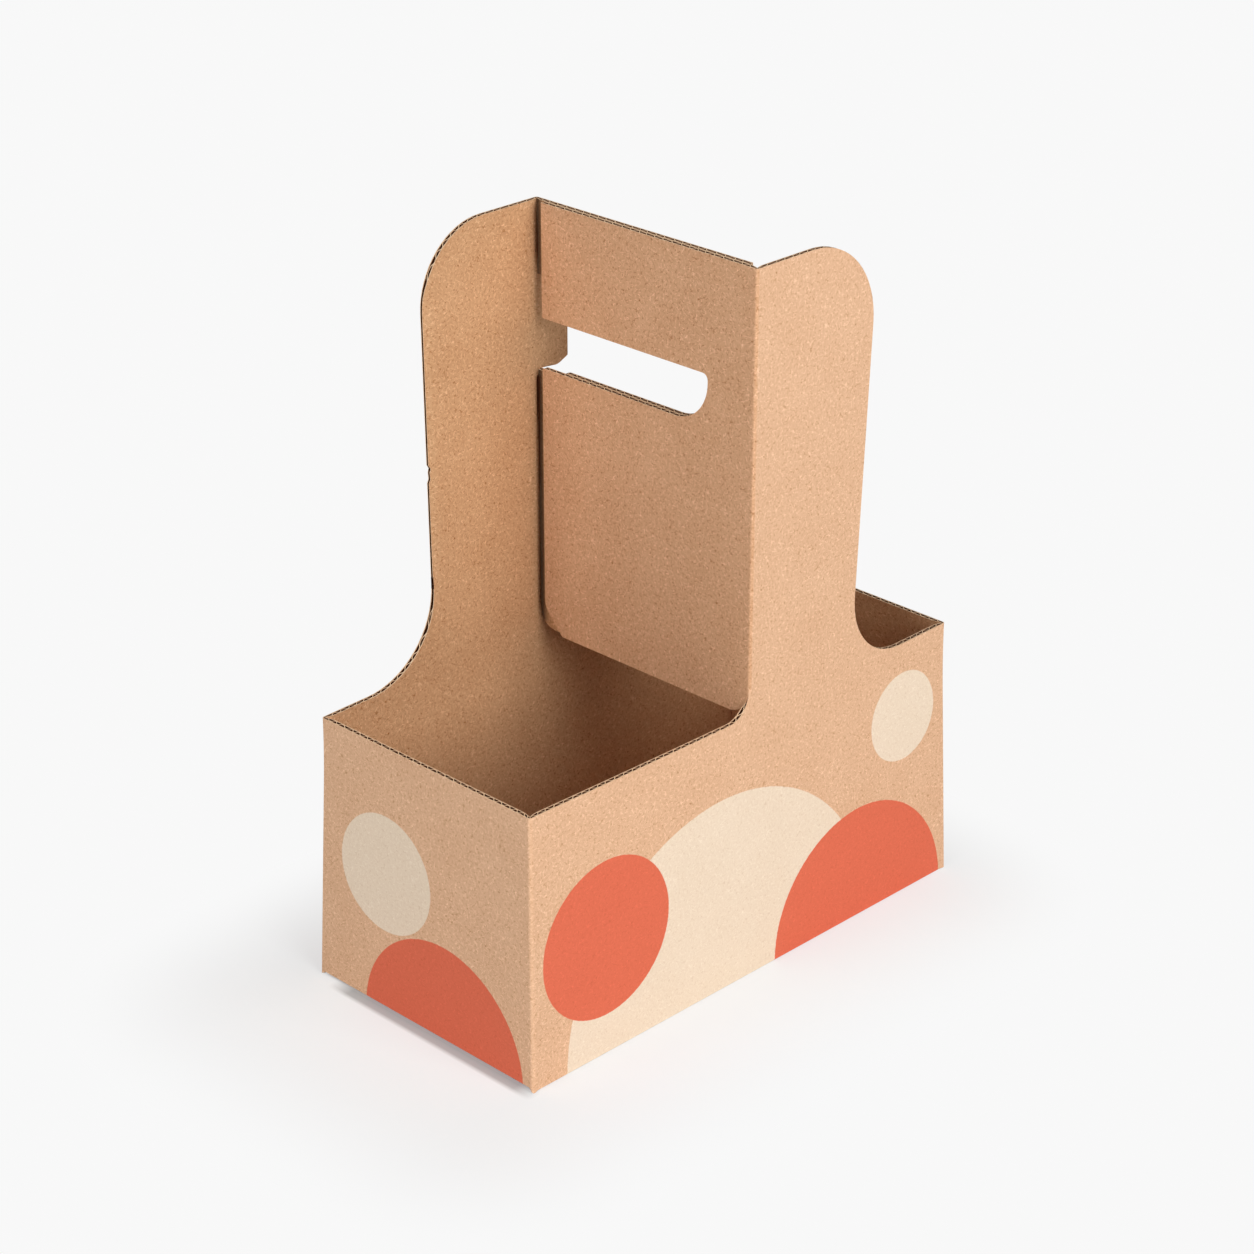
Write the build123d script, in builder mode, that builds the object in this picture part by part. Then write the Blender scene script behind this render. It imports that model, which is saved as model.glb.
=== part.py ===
from build123d import *
import os

os.makedirs("parts", exist_ok=True)

# Open box, outside sizes at the floor
box_length = 184.0
box_width = 93.0
wall_height = 87.0
wall_lean = 2.7
upright_strip = 6.0
overall_height = 224.0

# Corrugated board and its folds
board = 1.7
fold_radius = 2.1
floor_fold_radius = 1.5

# Towers that rise from the two long walls, each measured from its own fold
front_tower_top = 51.6
front_tower_foot = 45.2
front_corner_radius = 27.0
front_foot_radius = 22.0
back_tower_top = 47.4
back_tower_foot = 45.2
back_corner_radius = 24.0
back_foot_radius = 27.0
relief_radius = 8.0

# Flaps that turn in from the towers and lie face to face as the handle
flap_gap = 2.2
flap_corner_radius = 7.5

# Hand hole through both flaps, set out from their top edge
hole_below_top = 35.3
hole_height = 15.8
hole_end_from_fold = 17.2
hole_end_radius = 13.0

# Tab that the hole's cut leaves standing in the plane of the back tower
tab_length = 9.7
tab_drop = 1.5
tab_height = 29.8
tab_corner_radius = 2.0

# Floor flaps and glue flap
end_flap_length = 44.0
end_flap_clearance = 1.0
floor_seam = 0.6
glue_flap_width = 26.0
glue_flap_floor = 8.0

# One overrun serves every cut
overrun = 5.0

# Places worked out from the sizes
crease_height = wall_height - upright_strip
rim_length = box_length - 2 * wall_lean
rim_width = box_width - 2 * wall_lean
rim_x = rim_length / 2
rim_y = rim_width / 2
inner_y = rim_y - board
inner_fold_radius = fold_radius - board
half_board = board / 2
fold_start = wall_height + relief_radius
flap_free_y = inner_y - flap_gap
hole_end_y = hole_end_from_fold - rim_y
hole_top = overall_height - hole_below_top
hole_floor = hole_top - hole_height
tab_floor = hole_floor - tab_drop
tab_top = tab_floor + tab_height


def lean_at(height):
    """How far a wall's outside face has come in at this height."""
    return wall_lean * height / crease_height


def plate(plane, outline, thickness, mode=Mode.ADD):
    """A flat piece of board from its outline, given as corner points with a radius for each."""
    with BuildSketch(plane) as flat:
        with BuildLine():
            FilletPolyline(*outline, radius=outline.values(), close=True)
        make_face()
    extrude(flat.sketch, amount=thickness, mode=mode)


def upright(tower_top, tower_foot, corner_radius, foot_radius):
    """Upper strip of a long wall, with its tower and the flap that folds in from the tower.

    It is drawn as it stands at the front, with the fold just left of x = 0. The back one is the
    same kind of piece turned half round.
    """
    strip_end = rim_x - fold_radius
    wall_side = {
        (-strip_end, crease_height): 0,
        (-strip_end, wall_height): 0,
        (-board, wall_height): relief_radius,
        (-board, overall_height): 0,
        (tower_top - board, overall_height): corner_radius,
        (tower_foot - board, wall_height): foot_radius,
        (strip_end, wall_height): 0,
        (strip_end, crease_height): 0,
    }
    handle_side = {
        (-rim_y, overall_height): 0,
        (-rim_y, wall_height): relief_radius,
        (flap_free_y, wall_height): flap_corner_radius,
        (flap_free_y, overall_height): 0,
    }
    with BuildPart() as standing:
        plate(Plane.XZ.offset(rim_y), wall_side, -board)
        plate(Plane.YZ, handle_side, -board)
        # The fold is round on its outside, from the end of the relief cut to the top
        with BuildSketch(Plane.XY.offset(fold_start)):
            with Locations((-board, -rim_y)):
                Rectangle(fold_radius, fold_radius, align=Align.MIN)
            with Locations((fold_radius - board, fold_radius - rim_y)):
                Circle(fold_radius, mode=Mode.SUBTRACT)
        extrude(amount=overall_height - fold_start, mode=Mode.SUBTRACT)
    return standing.part


front_upright = upright(front_tower_top, front_tower_foot, front_corner_radius, front_foot_radius)
back_upright = upright(back_tower_top, back_tower_foot, back_corner_radius, back_foot_radius)

with BuildPart() as cup_carrier:
    # The box's outside: the walls lean in up to the crease and then stand upright to the rim
    with BuildSketch():
        RectangleRounded(box_length, box_width, fold_radius)
    with BuildSketch(Plane.XY.offset(crease_height)) as outer_crease:
        RectangleRounded(rim_length, rim_width, fold_radius)
    loft(ruled=True)
    extrude(outer_crease.sketch, amount=upright_strip)
    fillet(cup_carrier.edges().group_by(Axis.Z)[0], floor_fold_radius)

    # Its inside, down to the two long floor flaps, which are one board thick
    with BuildSketch(Plane.XY.offset(board)):
        RectangleRounded(
            box_length - 2 * (board + lean_at(board)),
            box_width - 2 * (board + lean_at(board)),
            inner_fold_radius,
        )
    with BuildSketch(Plane.XY.offset(crease_height)) as inner_crease:
        RectangleRounded(rim_length - 2 * board, rim_width - 2 * board, inner_fold_radius)
    loft(ruled=True, mode=Mode.SUBTRACT)
    extrude(inner_crease.sketch, amount=upright_strip, mode=Mode.SUBTRACT)

    # The long floor flaps meet on the middle line
    with BuildSketch():
        Rectangle(box_length - 2 * board, floor_seam)
    extrude(amount=board, mode=Mode.SUBTRACT)

    # A short flap from each end wall lies on them, rooted in the middle of its wall
    end_flap_width = box_width - 2 * (board + end_flap_clearance)
    with BuildSketch(Plane.XY.offset(board)):
        with Locations((half_board - box_length / 2, 0)):
            Rectangle(end_flap_length, end_flap_width, align=(Align.MIN, Align.CENTER))
        with Locations((box_length / 2 - half_board, 0)):
            Rectangle(end_flap_length, end_flap_width, align=(Align.MAX, Align.CENTER))
    extrude(amount=board)

    # The glue flap turns in from the back wall and lies on the inside of the right end wall
    for height in (glue_flap_floor, crease_height):
        with BuildSketch(Plane.XY.offset(height)):
            inset = half_board + lean_at(height)
            with Locations((box_length / 2 - inset, box_width / 2 - inset)):
                Rectangle(board + half_board, glue_flap_width, align=Align.MAX)
    loft(ruled=True)

    # Towers and handle flaps
    add(front_upright)
    add(back_upright, rotation=(0, 0, 180))

    # Hand hole through both flaps. It runs out at the free edge of the front one
    hand_hole = {
        (hole_end_y, hole_floor): hole_end_radius,
        (hole_end_y, hole_top): 0,
        (inner_y, hole_top): 0,
        (inner_y, hole_floor): 0,
    }
    through = board + overrun
    plate(Plane.YZ.offset(-through), hand_hole, 2 * through, Mode.SUBTRACT)

    # The tab was cut out of the back flap and stays in line with the back tower
    window = {
        (inner_y, tab_floor): 0,
        (inner_y - tab_length, tab_floor): tab_corner_radius,
        (inner_y - tab_length, tab_top): tab_corner_radius,
        (inner_y, tab_top): 0,
    }
    plate(Plane.YZ, window, through, Mode.SUBTRACT)
    tab = {
        (0, tab_floor): 0,
        (board + tab_length, tab_floor): tab_corner_radius,
        (board + tab_length, tab_top): tab_corner_radius,
        (0, tab_top): 0,
    }
    plate(Plane.XZ.offset(-inner_y), tab, -board)

# Write the piece
cup_carrier.part.label = "cup_carrier"
export_step(cup_carrier.part, "parts/cup_carrier.step")
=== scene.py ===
# %% [markdown]
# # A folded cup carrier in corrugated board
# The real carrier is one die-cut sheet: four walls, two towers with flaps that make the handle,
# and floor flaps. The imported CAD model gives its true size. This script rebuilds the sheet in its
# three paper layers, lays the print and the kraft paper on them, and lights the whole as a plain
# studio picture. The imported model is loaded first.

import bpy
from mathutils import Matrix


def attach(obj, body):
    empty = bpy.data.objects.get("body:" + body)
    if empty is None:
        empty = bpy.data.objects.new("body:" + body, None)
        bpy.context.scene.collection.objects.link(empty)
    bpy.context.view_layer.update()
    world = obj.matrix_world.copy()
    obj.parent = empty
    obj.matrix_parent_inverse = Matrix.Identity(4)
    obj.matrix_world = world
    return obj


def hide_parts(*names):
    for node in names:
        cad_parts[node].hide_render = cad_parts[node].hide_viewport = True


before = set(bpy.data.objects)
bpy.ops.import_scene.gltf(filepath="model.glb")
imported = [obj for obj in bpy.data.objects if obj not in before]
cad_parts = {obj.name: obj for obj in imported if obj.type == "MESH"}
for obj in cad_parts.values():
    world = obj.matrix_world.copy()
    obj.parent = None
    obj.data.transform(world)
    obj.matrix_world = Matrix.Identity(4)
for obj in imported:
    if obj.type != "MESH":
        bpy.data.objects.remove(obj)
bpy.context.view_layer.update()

# %% [markdown]
# ## Sizes of the sheet
# On a flat blank a point has a place along the ring of walls and a height, which is negative on
# a floor flap. All sizes are in millimetres and repeat the CAD model's, so the folded sheet
# fills the same box. The folds are a little tighter than the CAD's, because a creased board is
# crushed in its fold. The tab and the hand hole are given by their lower and upper heights. The
# glue flap lies inside the right end wall, so the back wall stops a board's thickness short
# there. FAR is a place that no point of the sheet reaches, for a wall that lacks a feature.

# %% Sizes in millimetres
import bpy
import numpy as np

HALF_LENGTH, HALF_WIDTH = 91.95, 46.45
RIM, TOP, LEAN = 87.0, 224.0, 2.65
BOARD, FOLD = 1.7, 0.9
BEND = FOLD * np.pi / 2
END_LIFT = 1.1
HANDLE_FOLD = FOLD - BOARD
RELIEF, FOLD_START = 8.0, 95.0
TAB_LOW, TAB_HIGH = 171.4, 201.2
HOLE_LOW, HOLE_HIGH = 172.9, 188.7
GLUE_STEP = 1.75
FAR = 999.0

LONG_ARC = HALF_LENGTH - LEAN - FOLD
END_ARC = HALF_WIDTH - LEAN - FOLD
JOIN = 1.0
EDGE = LONG_ARC + BEND + JOIN
SLOT = LONG_ARC - 1.5
QUARTER_RING = LONG_ARC + BEND + END_ARC
print("ring of four walls, mm:", round(4 * QUARTER_RING, 1))

# %% [markdown]
# ## From the flat blank to the folded wall
# A real wall is a flat panel with creases. It could be modelled standing up, panel by panel, but
# then print and paper would not run over the folds. Here one rule carries every point of the
# blank to its folded place, so the layers, their cut edges and the print all follow it.
#
# Each wall is listed with what the rule needs. half and out are half its length and its distance
# from the middle, at the foot. arcs and slots say how far from its middle the corner bends start
# and the foot's fold stops, on either side. lift is its gap over the table, turns its quarter
# turns about the upright axis, and ring the place of its middle along the blank. tab gives the
# heights between which its tower stays flat, tower the tower's reach at the rim and at the top,
# and bow how far it bulges.

# %% Gentle steps and the walls' lean
def smooth(x):
    """Runs from 0 to 1 as x does, level at both ends: three x squared less two x cubed."""
    x = np.clip(x, 0.0, 1.0)
    return x * x * (3 - 2 * x)


def bell(x):
    """1 at x = 0, falling away on both sides as e to the minus x squared."""
    return np.exp(-x * x)


def lean(height):
    """How far a wall has come in: an even slope to 66 mm, then a slope that dies out at the rim."""
    upper = np.clip((height - 66) / 21, 0, 1)
    return LEAN / 76.5 * (np.clip(height, 0, 66) + 21 * (upper - upper**2 / 2))


# %% The four walls
WALLS = {
    "front": dict(
        half=HALF_LENGTH, out=HALF_WIDTH, arcs=(LONG_ARC, LONG_ARC), slots=(SLOT, SLOT),
        lift=0.0, turns=0, ring=0.0, tab=(FAR, FAR), tower=(45.2, 51.6), bow=0.9,
    ),
    "right_end": dict(
        half=HALF_WIDTH, out=HALF_LENGTH, arcs=(END_ARC, FAR), slots=(FAR, FAR),
        lift=END_LIFT, turns=1, ring=QUARTER_RING, tab=(FAR, FAR), tower=(FAR, FAR), bow=0.0,
    ),
    "back": dict(
        half=HALF_LENGTH, out=HALF_WIDTH, arcs=(LONG_ARC - GLUE_STEP, LONG_ARC),
        slots=(SLOT - GLUE_STEP, SLOT), lift=0.0, turns=2, ring=-2 * QUARTER_RING,
        tab=(TAB_LOW, TAB_HIGH), tower=(45.2, 47.4), bow=2.0,
    ),
    "left_end": dict(
        half=HALF_WIDTH, out=HALF_LENGTH, arcs=(END_ARC, END_ARC), slots=(FAR, FAR),
        lift=END_LIFT, turns=3, ring=-QUARTER_RING, tab=(FAR, FAR), tower=(FAR, FAR), bow=0.0,
    ),
}


# %% How much each place is crushed by a crease or by the knife
def crease_at(wall, s, z, flap):
    """1 on a fold's middle line and falling as a bell curve beside it, over about 2 mm. A tower's
    long side, which the knife cut along the flutes, is crushed nine tenths as much. That sets in
    between 15 and 35 mm above the rim."""
    arc = np.where(s < 0, *wall["arcs"])
    corner = bell((arc + BEND / 2 - np.abs(s)) / 2.2)
    low, high = wall["tab"]
    folded = np.where(flap, 1.0, smooth((z - 89) / 6))
    folded = folded * (1 - smooth((z - low + 2) / 2) * smooth((high + 2 - z) / 2))
    handle = bell((s - HANDLE_FOLD + BEND / 2) / 2.0) * folded
    floor = bell((z - wall["lift"] - FOLD + BEND / 2) / 2.0)
    foot, top = wall["tower"]
    side = foot - BOARD + (top - foot) * (z - RIM) / (TOP - RIM)
    cut = 0.9 * bell((side - s) / 1.6) * smooth((z - RIM - 15) / 20)
    return np.max([corner * (z < 100), handle, floor, cut], axis=0)


# %% Painted shade in the slit beside a handle fold
def slit_shade_at(wall, s, z, flap):
    """How much painted shade darkens the inner face in the narrow slit that the other flap's free
    edge leaves at a handle fold: 1 in its middle, falling as a bell curve over 2 mm. The tab lies
    open, so it has none."""
    low, high = wall["tab"]
    closed = (z > 89) & (flap | (z < low) | (z > high))
    return bell((s - HANDLE_FOLD + BEND + 1.2) / 2.2) * closed


# %% [markdown]
# The rule has three bends in it. At the foot a quarter arc turns the wall in to its floor flap,
# at the corners a quarter arc turns it round the box, and at a tower's side another one turns
# the handle flap in. A depth of 0 is the printed face and 1.7 mm is the inner face. The end
# walls' floor flaps rise by END_RISE to lie on the long ones, and FLAP_GAP keeps the two handle
# flaps apart.

# %% The folding rule
END_RISE, FLAP_GAP = 0.65, 0.03


def fold_up(wall, s, z, depth, flap):
    """Carries blank points (s, z) at a depth in the board to x, y, z on the folded carrier.

    Each bend is a quarter circle with the fold's radius less the depth, so a point at arc length
    t turns by t over the bend's length times 90 degrees. Past the arc the sheet runs straight.
    """
    depth = depth * (1 - 0.5 * crease_at(wall, s, z, flap))
    arc = np.where(s < 0, *wall["arcs"])
    slot = np.where(s < 0, *wall["slots"])
    round_corner = np.abs(s) - arc
    turn = np.clip(round_corner / BEND, 0, 1) * np.pi / 2
    past = np.maximum(round_corner - BEND, 0)
    lift = np.maximum(wall["lift"], END_LIFT * smooth(round_corner / BEND))

    # The foot: curled in to the floor flap, but left plain between the slots at a corner
    own = z - lift
    dip = np.clip((FOLD - own) / BEND, 0, 1) * np.pi / 2
    under = np.maximum(FOLD - BEND - own, 0)
    curl = 1 - smooth((np.abs(s) - slot) / 1.6) * (1 - smooth((round_corner - BEND + 0.3) / 1.2))
    inset = FOLD - (FOLD - depth) * np.cos(dip) + under
    height = lift + np.maximum(own, FOLD) - (FOLD - depth) * np.sin(dip)
    height = height + END_RISE * smooth(under / 2.5) * (wall["lift"] > 0)
    inset = depth + (inset - depth) * curl
    height = z + (height - z) * curl

    # The wall and its corners
    half, out = wall["half"] - lean(height), wall["out"] - lean(height)
    spread = (half - FOLD) / (wall["half"] - LEAN - FOLD)
    deepen = (out - FOLD) / (wall["out"] - LEAN - FOLD)
    x = np.sign(s) * (np.minimum(np.abs(s), arc) * spread + (FOLD - inset) * np.sin(turn))
    y = FOLD - out - (FOLD - inset) * np.cos(turn) + past * deepen

    # The handle flap, and the tip of the wall where the fold runs out below it
    part = np.where(flap, 1.0, smooth((z - 89) / 6) * (z < 100)) * (s < HANDLE_FOLD)
    angle = np.clip((HANDLE_FOLD - s) / BEND, 0, 1) * np.pi / 2
    run = np.maximum(HANDLE_FOLD - BEND - s, 0)
    flap_x = HANDLE_FOLD - (FOLD - depth) * np.sin(angle) - FLAP_GAP * smooth(run / 3)
    flap_y = FOLD - (wall["out"] - LEAN) - (FOLD - depth) * np.cos(angle) + run
    x, y = x + (flap_x - x) * part, y + (flap_y - y) * part

    # A long wall bows out a little between its corners, and carries its tower and flap along
    along = s * (1 - part) / arc
    y = y - wall["bow"] * np.maximum(1 - along**2, 0) * smooth(height / RIM)

    for _ in range(wall["turns"]):
        x, y = -y, x
    return np.stack([x, y, height], axis=-1)


# %% [markdown]
# ## Cutting the blank
# A die cuts the sheet along lines and arcs. Here an outline is a list of corners, each with a
# radius, as a die maker would draw it. The sheet inside it is filled with strips between upright
# lines, because the flutes run upright too: a strip is cut off exactly where the outline crosses
# it, so the holes and arcs are true.

# %% Outlines from rounded corners
def rounded(corners):
    """Outline through (s, z, radius) corners. An arc touches both sides of its corner: it starts
    radius over tan(half the angle) before it, and gets a point about every 6 degrees."""
    corners = np.array(corners, float)
    points = []
    for before, here, after in zip(np.roll(corners, 1, 0), corners, np.roll(corners, -1, 0)):
        place, radius = here[:2], here[2]
        if radius == 0:
            points.append(place)
            continue
        back, on = before[:2] - place, after[:2] - place
        back, on = back / np.linalg.norm(back), on / np.linalg.norm(on)
        angle = np.arccos(back @ on)
        middle = (back + on) / np.linalg.norm(back + on)
        centre = place + middle * radius / np.sin(angle / 2)
        half_turn = (np.pi - angle) / 2
        steps = np.linspace(-half_turn, half_turn, int(np.degrees(half_turn) // 3) + 2)
        side = np.array([middle[1], -middle[0]])
        side = side * np.sign(side @ back)
        towards = np.outer(np.cos(steps), middle) + np.outer(np.sin(steps), side)
        points.extend(centre - radius * towards)
    return np.array(points)


# %% Fill an outline with strips
def cut_sheet(outline, columns, rows):
    """Triangles that fill an outline. In each strip between two columns the outline's edges are
    sorted by height and paired, and the rows are clipped into each pair. All places are rounded
    to a thousandth, so that two columns are the same or well apart."""
    outline = np.round(outline, 3)
    ends = np.roll(outline, -1, 0)
    upright = np.abs(outline[:, 0] - ends[:, 0]) < 1e-6
    rows = np.unique(np.round(np.r_[rows, outline[upright, 1], ends[upright, 1]], 3))
    low, high = outline[:, 0].min(), outline[:, 0].max()
    columns = np.unique(np.round(np.r_[columns, outline[:, 0]], 3))
    columns = columns[(columns > low - 1e-4) & (columns < high + 1e-4)]
    first, second = outline[~upright], ends[~upright]
    left, right = columns[:-1], columns[1:]
    spans = (np.minimum(first[:, :1], second[:, :1]) < left + 1e-4) & (
        np.maximum(first[:, :1], second[:, :1]) > right - 1e-4
    )
    slope = (second[:, 1:] - first[:, 1:]) / (second[:, :1] - first[:, :1])
    at_left = first[:, 1:] + slope * (left - first[:, :1])
    at_right = first[:, 1:] + slope * (right - first[:, :1])
    middle = np.where(spans, at_left + at_right, np.inf)
    order = np.argsort(middle, axis=0)
    at_left = np.take_along_axis(at_left, order, 0)
    at_right = np.take_along_axis(at_right, order, 0)
    real = np.isfinite(np.take_along_axis(middle, order, 0))
    pair, strip = np.nonzero(real[0:-1:2] & real[1::2])
    grid = np.empty((len(strip), len(rows), 2, 2))
    for side, line, edge in ((0, left, at_left), (1, right, at_right)):
        grid[:, :, side, 0] = line[strip, None]
        bottom, top = edge[2 * pair, strip], edge[2 * pair + 1, strip]
        grid[:, :, side, 1] = np.clip(rows, bottom[:, None], top[:, None])
    quads = np.stack(
        [grid[:, :-1, 0], grid[:, :-1, 1], grid[:, 1:, 1], grid[:, 1:, 0]], axis=2
    ).reshape(-1, 4, 2)
    return np.concatenate([quads[:, [0, 1, 2]], quads[:, [0, 2, 3]]])


# %% [markdown]
# ## The outlines of the panels
# The long walls carry the towers. One arc cut frees a handle flap from the rim below it, so the
# wall keeps the arc's lower side and the flap its upper side. The back one has the glue flap, a
# tab, which the hand hole's cut left standing, and a small tear on its tower's edge.

# %% Long walls
def relief(end):
    """The arc cut from the rim, 8 mm before its end, up to the start of the handle's fold."""
    places = []
    for t in np.radians(np.arange(0, 91, 9)):
        places.append((end - RELIEF + RELIEF * np.cos(t), FOLD_START - RELIEF * np.sin(t), 0))
    return places


def long_wall(foot, top, corner_radius, foot_radius, left_side, tear=(), tab=()):
    """Outline of a long wall with its floor flap and its tower, from the reach of the tower at
    the rim and at the top. The left side, a tear and a tab are more corners."""
    return rounded(
        [(-FLOOR_FLAP, -45.6, 0), (FLOOR_FLAP, -45.6, 0), (FLOOR_FLAP, -1.2, 0), (SLOT, 0.15, 0)]
        + [(LONG_ARC + 0.6, 0.25, 0), (EDGE, 1.25, 0), (EDGE, RIM, 0)]
        + [(foot - BOARD, RIM, foot_radius), *tear, (top - BOARD, TOP, corner_radius)]
        + [(HANDLE_FOLD, TOP, 0), *tab, (HANDLE_FOLD, FOLD_START, 0), *relief(-BOARD)]
        + left_side
        + [(-FLOOR_FLAP, -1.2, 0)]
    )


FLOOR_FLAP = 84.65
FRONT_WALL = long_wall(
    *WALLS["front"]["tower"], 27.0, 22.0,
    [(-EDGE, RIM, 0), (-EDGE, 1.25, 0), (-LONG_ARC - 0.6, 0.1, 0), (-SLOT, 0.15, 0)],
)
GLUE = LONG_ARC - GLUE_STEP + BEND
BACK_WALL = long_wall(
    *WALLS["back"]["tower"], 24.0, 27.0,
    [(1.2 - GLUE, RIM, 0), (-GLUE - 0.5, 84, 1), (-GLUE - 26, 77, 2), (-GLUE - 26, 10, 2)]
    + [(-GLUE, 4, 1), (-SLOT, 0.3, 0), (GLUE_STEP - SLOT, 0.15, 0)],
    tear=[(44.45, 147.2, 0.2), (43.9, 148.4, 0.3), (44.1, 150.6, 0.3), (43.75, 151.7, 0.2),
          (44.5, 153.0, 0.2)],
    tab=[(HANDLE_FOLD, TAB_HIGH, 0), (-12.2, TAB_HIGH, 2), (-12.2, 172.6, 0.6), (-8.0, 170.7, 4),
         (HANDLE_FOLD, TAB_LOW, 0)],
)
print("outline points:", len(FRONT_WALL), len(BACK_WALL))

# %% [markdown]
# Both handle flaps reach almost to the opposite wall. The hand hole runs out at the front flap's
# free edge. In the back flap it joins the window that the tab was cut from.

# %% Handle flaps
def across(w):
    """Place on the blank of a point on a flap, from its distance to its tower's outer face."""
    return HANDLE_FOLD - BEND + FOLD - w


FREE, BACK_FREE = across(85.2), across(85.7)
FRONT_FLAP = rounded(
    [(HANDLE_FOLD, FOLD_START, 0), *relief(-BOARD), (FREE + 7.5, RIM, 1.5), (FREE, RIM + 8, 6)]
    + [(FREE, HOLE_LOW, 0.6), (across(18.1), HOLE_LOW, 13), (across(18.1), HOLE_HIGH, 2)]
    + [(FREE, HOLE_HIGH, 0.6), (FREE, TOP, 0), (HANDLE_FOLD, TOP, 0)]
)
BACK_FLAP = rounded(
    [(HANDLE_FOLD, FOLD_START, 0), *relief(-BOARD), (BACK_FREE, RIM, 7.5), (BACK_FREE, TOP, 0)]
    + [(HANDLE_FOLD, TOP, 0), (HANDLE_FOLD, TAB_HIGH, 0), (across(12.2), TAB_HIGH, 2)]
    + [(across(12.2), HOLE_HIGH, 0), (across(72.4), HOLE_HIGH, 2), (across(72.4), HOLE_LOW, 13)]
    + [(across(13.5), HOLE_LOW, 3), (across(9.0), 170.7, 4), (HANDLE_FOLD, TAB_LOW, 0)]
)

# %% [markdown]
# The short end walls stand a little above the table, because their floor flaps lie on the long
# ones. The right one ends in a cut edge at the back, where the glue flap lies on its inside.

# %% End walls
END_EDGE = END_ARC - JOIN
FLOOR_AND_LEFT = [
    (-END_EDGE, RIM, 0), (-END_EDGE, 1.25, 0), (-40.4, 0.0, 0),
    (-39.6, -42.9, 0), (39.6, -42.9, 0), (40.4, 0.0, 0),
]
LEFT_END = rounded(FLOOR_AND_LEFT + [(END_EDGE, 1.25, 0), (END_EDGE, RIM, 0)])
RIGHT_END = rounded(FLOOR_AND_LEFT + [(41.6, 1.25, 0), (43.6, 1.25, 0), (43.6, RIM, 0)])
PANELS = {
    "front": [(FRONT_WALL, False), (FRONT_FLAP, True)],
    "right_end": [(RIGHT_END, False)],
    "back": [(BACK_WALL, False), (BACK_FLAP, True)],
    "left_end": [(LEFT_END, False)],
}

# %% [markdown]
# ## Three layers of paper
# Corrugated board is an outer liner, a fluted medium and an inner liner. The hollow cells
# between them are the dark dashes along every cut edge, so the layers are three real shells.
# A Solidify modifier on a drawn edge would give the board's thickness, but not its cells.
# The fluting swings between the liners and 0.06 mm into each, as if glued. RISE is STEEP over
# its tangens hyperbolicus, times two pi over PITCH: how steeply the wave goes through its middle.

# %% The depth of each layer
OUTER_LINER, INNER_LINER = 0.32, 1.40
MIDDLE, SWING = 0.86, 0.6
PITCH, THIN = 3.3, 0.13
STEEP, RISE = 1.2, 2.74


def liner(near, far):
    """A flat layer between two depths."""
    return lambda s, z: (np.full_like(s, near), np.full_like(s, far))


def fluting(s, z):
    """A wave between the liners, with steep flanks: the tangens hyperbolicus of a sine. Slow
    waves along the wall and up it shift it, so that the cells are uneven. On a flank the paper
    is deeper, by the square root of one plus the slope squared, so that it keeps its thickness."""
    shifted = s + 0.35 * np.sin(0.31 * s + 1.3) + 0.15 * np.sin(0.83 * s) + 0.2 * np.sin(0.05 * z)
    phase = 2 * np.pi * shifted / PITCH
    wave = np.tanh(STEEP * np.sin(phase))
    middle = MIDDLE + (SWING - THIN) * wave / np.tanh(STEEP)
    slope = (SWING - THIN) * (1 - wave**2) * np.cos(phase) * RISE
    half = THIN * np.sqrt(1 + slope**2)
    return middle - half, middle + half


# %% [markdown]
# Where a cut runs along the flutes, as on a tower's side, the knife leaves the fluting behind it
# and the edge shows one long dark groove. So there the fluting ends a little way inside.

# %% Draw the fluting back from a tower's side
def drawn_back(outline):
    """Moves an outline's points in by 0.5 mm times the sixth power of how squarely they face
    along the wall, but only above the rim and on the tower's outer side."""
    before, after = outline - np.roll(outline, 1, 0), np.roll(outline, -1, 0) - outline
    ahead = before / np.linalg.norm(before, axis=1)[:, None]
    ahead = ahead + after / np.linalg.norm(after, axis=1)[:, None]
    ahead = ahead / np.linalg.norm(ahead, axis=1)[:, None]
    outward = np.stack([ahead[:, 1], -ahead[:, 0]], axis=1)
    move = 0.5 * np.maximum(outward[:, :1], 0) ** 6 * smooth((outline[:, 1:] - RIM - 2) / 6)
    return outline - outward * move


# %% Lines that every panel is divided at
def columns_for(step):
    """Even columns at this step, with closer ones through each corner and handle fold."""
    even = np.arange(-92, 92.01, step)
    starts = (LONG_ARC, END_ARC, LONG_ARC - GLUE_STEP)
    bends = [np.linspace(arc - 2.5, arc + BEND, 14) for arc in starts]
    bends = np.concatenate(bends)
    handle = np.linspace(HANDLE_FOLD - BEND - 2, HANDLE_FOLD + 2, 16)
    return np.r_[even, bends, -bends, handle, HANDLE_FOLD, HANDLE_FOLD - BEND]


FOOT = np.linspace(FOLD - BEND - 2.4, FOLD + 2.4, 12)
ROWS = np.r_[-60, np.arange(-45, -4, 8), FOOT, FOOT + END_LIFT, np.arange(6, 66, 6)]
ROWS = np.r_[ROWS, np.arange(66, 96, 2.9), np.arange(96, 225, 8), 300]
FEW_ROWS = np.r_[-60, -25, FOOT[::2], FOOT[::2] + END_LIFT, 20, 40, 60, 72, 80, 87, 95, 120, 300]
LINER_STEP, FLUTING_STEP = 2.4, PITCH / 11
LAYERS = {
    "outer_liner": (liner(0.0, OUTER_LINER), LINER_STEP, ROWS),
    "fluting": (fluting, FLUTING_STEP, FEW_ROWS),
    "inner_liner": (liner(INNER_LINER, BOARD), LINER_STEP, ROWS),
}


# %% [markdown]
# A layer is the same blank seen at two depths. Triangles that meet in space are welded, and the
# edges that only one triangle uses are the cut edges, where a band joins the two faces.

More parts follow.
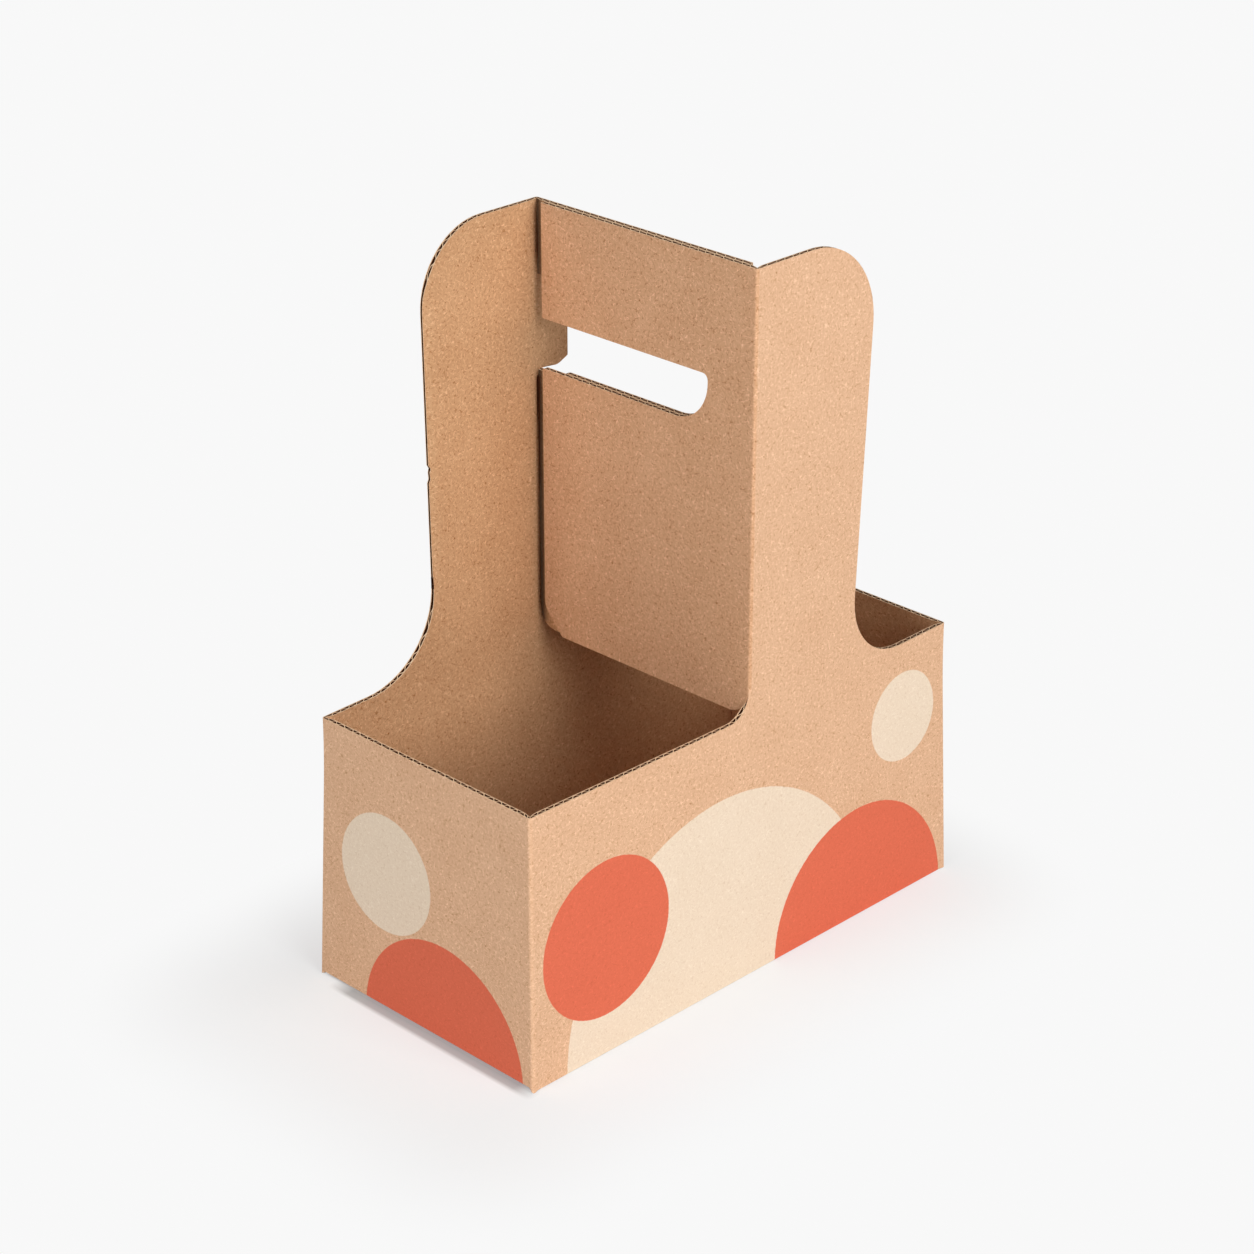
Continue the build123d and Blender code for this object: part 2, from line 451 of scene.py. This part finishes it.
# %% Make one layer of one panel
def paper_layer(name, wall, panel, depths, step, rows):
    """A closed shell: near face, far face and the band round every cut edge."""
    blank, flap = [], []
    for outline, is_flap in panel:
        if depths is fluting and not is_flap:
            outline = drawn_back(outline)
        cut = cut_sheet(outline, columns_for(step), rows)
        blank.append(cut)
        flap.append(np.full(cut.shape[:2], is_flap))
    blank, flap = np.concatenate(blank).reshape(-1, 2), np.concatenate(flap).ravel()
    key = fold_up(wall, blank[:, 0], blank[:, 1], 0.0, flap)
    _, keep, index = np.unique(np.round(key, 3), axis=0, return_index=True, return_inverse=True)
    s, z, flap = blank[keep, 0], blank[keep, 1], flap[keep]
    tri = index.reshape(-1, 3)
    tri = tri[(tri[:, 0] != tri[:, 1]) & (tri[:, 1] != tri[:, 2]) & (tri[:, 2] != tri[:, 0])]

    near, far = depths(s, z)
    places = np.concatenate([fold_up(wall, s, z, near, flap), fold_up(wall, s, z, far, flap)])
    count = len(s)
    edges = np.concatenate([tri[:, [0, 1]], tri[:, [1, 2]], tri[:, [2, 0]]])
    code = np.sort(edges, axis=1) @ np.array([count, 1])
    _, which, used = np.unique(code, return_inverse=True, return_counts=True)
    rim = edges[used[which] == 1]
    band = np.stack([rim[:, 1], rim[:, 0], rim[:, 0] + count, rim[:, 1] + count], axis=1)

    faces = tri.tolist() + (tri[:, ::-1] + count).tolist() + band.tolist()
    mesh = bpy.data.meshes.new(name)
    mesh.from_pydata(places * 0.001, [], faces)
    kind = np.repeat([0, 1, 2], [len(tri), len(tri), len(band)])
    kind[: len(tri)][flap[tri].sum(axis=1) > 1] = 3
    mesh.polygons.foreach_set("material_index", kind.astype(np.int32))
    corners = np.empty(len(mesh.loops), np.int32)
    mesh.loops.foreach_get("vertex_index", corners)
    flat = np.stack([s + wall["ring"], z], axis=1)[corners % count] * 0.001
    mesh.uv_layers.new(name="blank").uv.foreach_set("vector", flat.astype(np.float32).ravel())
    # The slit amount darkens the inner face in the slit beside a handle fold: painted shade.
    for attribute, amount in (("crease", crease_at), ("slit", slit_shade_at)):
        values = np.tile(amount(wall, s, z, flap), 2).astype(np.float32)
        mesh.attributes.new(attribute, "FLOAT", "POINT").data.foreach_set("value", values)
    mesh.shade_smooth()
    mesh.set_sharp_from_angle(angle=np.radians(35))
    piece = bpy.data.objects.new(name, mesh)
    bpy.context.scene.collection.objects.link(piece)
    return piece


# %% Make all the layers
layers = {}
for panel_name, panel in PANELS.items():
    for layer_name, (depths, step, rows) in LAYERS.items():
        name = f"{panel_name}_{layer_name}"
        piece = paper_layer(name, WALLS[panel_name], panel, depths, step, rows)
        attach(piece, "root")
        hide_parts("cup_carrier")
        layers[name] = piece
        print(name, "faces:", len(piece.data.polygons))

# %% [markdown]
# ## Kraft paper
# Kraft liner is brown paper with short fibres: soft mottling, fine grain, a few light fibres and
# dark specks. An image would be the quick way, but noise on the blank's own map, in metres, keeps
# every grain at its true size and runs over the folds without a break.

# %% Node helper
def node(tree, kind, inputs=(), **settings):
    """Adds a node. Inputs are given by name or number, as a value or as another node's output."""
    made = tree.nodes.new("ShaderNode" + kind)
    for key, value in settings.items():
        setattr(made, key, value)
    for key, value in dict(inputs).items():
        if isinstance(value, bpy.types.NodeSocket):
            tree.links.new(value, made.inputs[key])
        else:
            socket = made.inputs[key]
            socket.default_value = value[:3] if socket.type == "VECTOR" else value
    return made.outputs[0]


def linear(red, green, blue):
    """A colour picked on a screen, from 0 to 255, as the light that it stands for."""
    screen = np.array([red, green, blue]) / 255
    light = np.where(screen <= 0.04045, screen / 12.92, ((screen + 0.055) / 1.055) ** 2.4)
    return (*light, 1.0)


def new_material(name, roughness):
    """An empty material with its shader: its tree, its shader and the blank's own map."""
    material = bpy.data.materials.new(name)
    material.use_nodes = True
    tree = material.node_tree
    shader = tree.nodes["Principled BSDF"]
    shader.inputs["Roughness"].default_value = roughness
    shader.inputs["Specular IOR Level"].default_value = 0.25
    return material, tree, shader, node(tree, "UVMap", uv_map="blank")


# %% Paper grain
def paper_tone(tree, blank):
    """How light the paper is at a point, near 1 on average: soft clouds, grain, short curved
    fibres that are lighter or darker, and sparse dark specks. A fibre runs where one cloud field
    is close to its middle value, and only where a second field is high."""
    def field(size, detail, at=blank):
        inputs = {"Vector": at, "Scale": 1 / size, "Detail": detail}
        return node(tree, "TexNoise", inputs, noise_dimensions="2D")

    tone = 1.0
    for size, amount, detail in ((0.016, 0.10, 2), (0.0009, 0.26, 3)):
        cloud = field(size, detail)
        tone = node(tree, "Math", {0: cloud, 1: amount, 2: tone}, operation="MULTIPLY_ADD")
        tone = node(tree, "Math", {0: tone, 1: amount / 2}, operation="SUBTRACT")
    for turn, size, amount in ((0.0, 0.0016, 0.24), (2.1, 0.0020, 0.18), (1.0, 0.0017, -0.24)):
        turns = {0: blank, "Location": (turn, 0, 0), "Rotation": (0, 0, turn)}
        turned = node(tree, "Mapping", turns)
        away = node(tree, "Math", {0: field(size, 0, turned), 1: 0.5}, operation="SUBTRACT")
        away = node(tree, "Math", {0: away}, operation="ABSOLUTE")
        fibre = node(tree, "MapRange", {0: away, 1: 0.012, 2: 0.055, 3: amount, 4: 0.0})
        there = node(tree, "MapRange", {0: field(size * 0.7, 1, turned), 1: 0.48, 2: 0.56})
        tone = node(tree, "Math", {0: fibre, 1: there, 2: tone}, operation="MULTIPLY_ADD")
    specks = node(tree, "TexVoronoi", {"Vector": blank, "Scale": 260}, voronoi_dimensions="2D")
    dark = node(tree, "MapRange", {0: specks, 1: 0.04, 2: 0.09, 3: 0.20, 4: 0.0})
    return node(tree, "Math", {0: tone, 1: dark}, operation="SUBTRACT")


def finish_paper(tree, shader, colour, tone, grain, marks):
    """Links the colour to the shader, with a fine bump. The grain swings blue most and red least,
    because a light fibre is paler and a dark one browner. Each mark is an attribute, where it
    starts to show and the factor that it ends at."""
    swing = node(tree, "Math", {0: tone, 1: 1.0}, operation="SUBTRACT")
    parts = tuple(grain * share for share in (0.7, 1.0, 1.3))
    shade = node(tree, "VectorMath", {0: swing, 1: parts, 2: (1, 1, 1)}, operation="MULTIPLY_ADD")
    shade = node(tree, "VectorMath", {0: shade, 1: colour}, operation="MULTIPLY")
    # A mark scales the colour: the slit mark is painted shade, the crease mark a painted highlight.
    for name, start, factor in marks:
        amount = node(tree, "Attribute", attribute_name=name).node.outputs["Fac"]
        change = node(tree, "MapRange", {0: amount, 1: start, 2: 1.0, 3: 1.0, 4: factor})
        shade = node(tree, "VectorMath", {0: shade, "Scale": change}, operation="SCALE")
    tree.links.new(shade, shader.inputs["Base Color"])
    bump = node(tree, "Bump", {"Strength": 0.35, "Distance": 0.00006, "Height": tone})
    tree.links.new(bump, shader.inputs["Normal"])


# %% Plain kraft for the inside, the fluting and the cut edges
# Along folds and crushed cut edges the paper is made up to 7 % lighter: a painted highlight.
CREASE_HIGHLIGHT = ("crease", 0.75, 1.07)


def kraft(name, colour, grain, *marks):
    """Unprinted paper of one colour. The rougher inner side has the stronger grain."""
    material, tree, shader, blank = new_material(name, 0.88)
    finish_paper(tree, shader, colour, paper_tone(tree, blank), grain, marks)
    return material


KRAFT = linear(229, 184, 147)
# The inner face darkens to 0.22 of its colour in the slit beside a handle fold: painted shade.
kraft_inside = kraft("kraft_inside", linear(207, 160, 118), 1.7, ("slit", 0.0, 0.22))
# The fluting gets a far darker brown than its own paper so the cells along every cut edge look
# deep: partly its own colour, partly painted shade.
kraft_fluting_painted_shade = kraft("kraft_fluting_painted_shade", linear(92, 48, 22), 1.0)
# The handle flaps' outer face is the same liner as the walls' but gets a darker kraft: painted
# shade.
kraft_flap_painted_shade = kraft("kraft_flap_painted_shade", linear(217, 168, 129), 1.6, CREASE_HIGHLIGHT)
cut_edge = kraft("cut_edge", linear(252, 214, 174), 0.5)

# %% [markdown]
# ## Print
# The walls carry two flat inks on the bare kraft, a coral and a cream. The design is a plain one:
# discs and half discs that stand on the table's edge. Each is one distance on the blank's map,
# with an edge as soft as a rubber plate leaves it, and the paper's grain shows through the ink.

# %% The printed shapes
CORAL, CREAM = linear(228, 112, 82), linear(243, 222, 197)
DISCS = [(CREAM, -12, 0, 64), (CORAL, -60, 38, 25), (CORAL, 48, 0, 38), (CREAM, 69, 62, 15)]
END_DISCS = [(CORAL, 8, 0, 32), (CREAM, -16, 46, 19)]
PRINT = []
for wall_name, discs in (
    ("front", DISCS), ("back", DISCS), ("right_end", END_DISCS), ("left_end", END_DISCS),
):
    PRINT += [(ink, s + WALLS[wall_name]["ring"], z, radius) for ink, s, z, radius in discs]


# %% Printed kraft
def printed_kraft(name):
    """Kraft with the discs laid over it one after the other, each a mix by its distance mask."""
    material, tree, shader, blank = new_material(name, 0.85)
    inputs = {"Vector": blank, "Scale": 900, "Detail": 2}
    wobble = node(tree, "TexNoise", inputs, noise_dimensions="2D")
    edge = node(tree, "Math", {0: wobble, 1: 0.00022}, operation="MULTIPLY")
    colour, bare = KRAFT, 1.0
    for ink, s, z, radius in PRINT:
        centre = (s / 1000, z / 1000, 0)
        away = node(tree, "VectorMath", {0: blank, 1: centre}, operation="DISTANCE")
        reach = node(tree, "Math", {0: away.node.outputs["Value"], 1: edge}, operation="ADD")
        full, bare_from = (radius - 0.08) / 1000, (radius + 0.12) / 1000
        mask = node(tree, "MapRange", {0: reach, 1: full, 2: bare_from, 3: 1.0, 4: 0.0})
        layer = tree.nodes.new("ShaderNodeMix")
        layer.data_type = "RGBA"
        for socket, value in ((0, mask), (6, colour), (7, ink)):
            if isinstance(value, bpy.types.NodeSocket):
                tree.links.new(value, layer.inputs[socket])
            else:
                layer.inputs[socket].default_value = value
        colour = layer.outputs[2]
        bare = node(tree, "Math", {0: bare, 1: mask}, operation="SUBTRACT", use_clamp=True)
    tone = paper_tone(tree, blank)
    calm = node(tree, "MapRange", {0: bare, 3: 0.4, 4: 1.0})
    tone = node(tree, "Math", {0: tone, 1: 1.0}, operation="SUBTRACT")
    tone = node(tree, "Math", {0: tone, 1: calm, 2: 1.0}, operation="MULTIPLY_ADD")
    finish_paper(tree, shader, colour, tone, 1.15, [CREASE_HIGHLIGHT])
    return material


kraft_printed = printed_kraft("kraft_printed")

# %% Give each layer its faces' materials
for name, piece in layers.items():
    if "outer" in name:
        faces = (kraft_printed, kraft_fluting_painted_shade, cut_edge, kraft_flap_painted_shade)
    elif "inner" in name:
        faces = (kraft_fluting_painted_shade, kraft_inside, cut_edge, kraft_fluting_painted_shade)
    else:
        faces = (kraft_fluting_painted_shade, kraft_fluting_painted_shade, cut_edge, kraft_fluting_painted_shade)
    for material in faces:
        piece.data.materials.append(material)

# %% [markdown]
# ## Floor, light and camera
# The photograph has a white studio floor that fades into a white background, with a soft shadow
# at the carrier's foot. A floor that is lit white would need more light than the board can take,
# so away from the carrier the floor only looks white to the camera. Near it, it is a plain pale
# surface with a little of that glow, and keeps the shadow. The fade to white starts from the
# carrier's outline, moved 20 mm to the left, where the soft shadow lies. A 3 mm strip along the
# left end wall, which doesn't reach the table, glows less, because the photograph's shadow is
# dark there. Under the carrier nothing glows, so the seam between the floor flaps stays dark.
# The floor lies a little below zero, so that it shares no face with the carrier's underside.

# %% What only the camera sees
def camera_sees(tree):
    """1 for a ray from the camera, also one by way of gloss or clear matter, and 0 for light."""
    rays = node(tree, "LightPath").node.outputs
    seen = rays["Is Camera Ray"]
    for name in ("Is Glossy Ray", "Is Transmission Ray"):
        seen = node(tree, "Math", {0: seen, 1: rays[name]}, operation="MAXIMUM")
    return seen


# %% Floor
LINES, REACH, BELOW = 9, 8.0, 0.00002
side = np.linspace(-REACH, REACH, LINES)
grid_x, grid_y = np.meshgrid(side, side)
spots = np.stack([grid_x.ravel(), grid_y.ravel(), np.full(LINES**2, -BELOW)], axis=1)
start = (np.arange(LINES - 1)[:, None] * LINES + np.arange(LINES - 1)).ravel()
squares = np.stack([start, start + 1, start + LINES + 1, start + LINES], axis=1)
floor_mesh = bpy.data.meshes.new("floor")
floor_mesh.from_pydata(spots, [], squares.tolist())
floor = bpy.data.objects.new("floor", floor_mesh)
bpy.context.scene.collection.objects.link(floor)

WHITE, PALE = 0.94, 0.40
OUTLINE, LEFTWARD, FADE = (0.092, 0.0465, 0), 0.02, 0.06
# In a 3 mm strip along the left end wall the floor's glow is lowered: a painted shadow.
SHADOW_STRIP = (("X", 0.0925, 0.0030, 0.0012), ("Y", 0.004, 0.044, 0.036))
UNDER = (("X", 0.0, 0.0912, 0.0892), ("Y", 0.0, 0.0462, 0.0442))
NEAR_GLOW, SHADOW_STRIP_GLOW = 0.58, 0.18
floor_paint = bpy.data.materials.new("studio_floor")
floor_paint.use_nodes = True
tree = floor_paint.node_tree
tree.nodes.remove(tree.nodes["Principled BSDF"])
spot = node(tree, "NewGeometry")
place = node(tree, "VectorMath", {0: spot, 1: (LEFTWARD, 0, 0)}, operation="ADD")
place = node(tree, "VectorMath", {0: place}, operation="ABSOLUTE")
place = node(tree, "VectorMath", {0: place, 1: OUTLINE}, operation="SUBTRACT")
place = node(tree, "VectorMath", {0: place, 1: (0, 0, 0)}, operation="MAXIMUM")
away = node(tree, "VectorMath", {0: place}, operation="LENGTH").node.outputs["Value"]
fade = node(tree, "MapRange", {0: away, 1: 0.0, 2: FADE}, interpolation_type="SMOOTHSTEP")
seen = camera_sees(tree)
fade = node(tree, "Math", {0: fade, 1: seen}, operation="MULTIPLY")
matt = node(tree, "BsdfDiffuse", {"Color": node(tree, "MapRange", {0: seen, 3: WHITE, 4: PALE})})
glow = node(tree, "Emission", {"Color": (WHITE, WHITE, WHITE, 1), "Strength": 1.0})
along = node(tree, "SeparateXYZ", {0: spot})


def rectangle(*sides):
    """1 inside a soft rectangle on the floor and 0 outside. Each side is an axis, minus its
    middle, and how far from the middle it starts and is full, in metres."""
    inside = 1.0
    for axis, shift, start, full in sides:
        off = node(tree, "Math", {0: along.node.outputs[axis], 1: shift}, operation="ADD")
        off = node(tree, "Math", {0: off}, operation="ABSOLUTE")
        off = node(tree, "MapRange", {0: off, 1: start, 2: full})
        inside = node(tree, "Math", {0: off, 1: inside}, operation="MULTIPLY")
    return inside


faint = node(tree, "MapRange", {0: rectangle(*SHADOW_STRIP), 3: NEAR_GLOW, 4: SHADOW_STRIP_GLOW})
faint = node(tree, "MapRange", {0: rectangle(*UNDER), 3: faint, 4: 0.0})
faint = node(tree, "Math", {0: seen, 1: faint}, operation="MULTIPLY")
faint = node(tree, "Emission", {"Color": (1, 1, 1, 1), "Strength": faint})
near = node(tree, "AddShader", {0: matt, 1: faint})
blend = node(tree, "MixShader", {0: fade, 1: near, 2: glow})
tree.links.new(blend, tree.nodes["Material Output"].inputs["Surface"])
floor_mesh.materials.append(floor_paint)

# %% World and lamps
from mathutils import Euler, Matrix, Vector

world = bpy.data.worlds.new("studio")
bpy.context.scene.world = world
world.use_nodes = True
tree = world.node_tree
FILL = 0.124
level = node(tree, "MapRange", {0: camera_sees(tree), 3: FILL, 4: WHITE})
tree.links.new(level, tree.nodes["Background"].inputs["Strength"])
tree.nodes["Background"].inputs["Color"].default_value = (1, 1, 1, 1)


def lamp(name, place, size, power):
    """A square area lamp that faces the carrier's middle, 100 mm up."""
    light = bpy.data.lights.new(name, "AREA")
    light.shape, light.size, light.energy = "SQUARE", size, power
    item = bpy.data.objects.new(name, light)
    item.location = place
    towards = Vector((0, 0, 0.1)) - item.location
    item.rotation_euler = towards.to_track_quat("-Z", "Y").to_euler()
    bpy.context.scene.collection.objects.link(item)


lamp("front", (-0.14, -1.58, 0.95), 1.2, 23.0)
lamp("left", (-1.47, 0.0, 1.13), 1.2, 12.2)

# %% [markdown]
# The camera comes from a fit of the carrier's corners: it stands half left of the front wall and
# looks down by about 25 degrees, through a long lens. Its turns and its roll are in degrees.

# %% Camera
STAND, TURNS, ROLL = (-0.6071, -0.5914, 0.4996), (64.80, 0, -45.42), 0.07
lens = bpy.data.cameras.new("camera")
lens.lens, lens.sensor_width = 89.94, 36.0
camera = bpy.data.objects.new("camera", lens)
turned = Euler(np.radians(TURNS)).to_matrix() @ Matrix.Rotation(np.radians(ROLL), 3, "Z")
camera.matrix_world = Matrix.Translation(STAND) @ turned.to_4x4()
bpy.context.scene.collection.objects.link(camera)
bpy.context.scene.camera = camera
bpy.context.scene.view_settings.view_transform = "Standard"
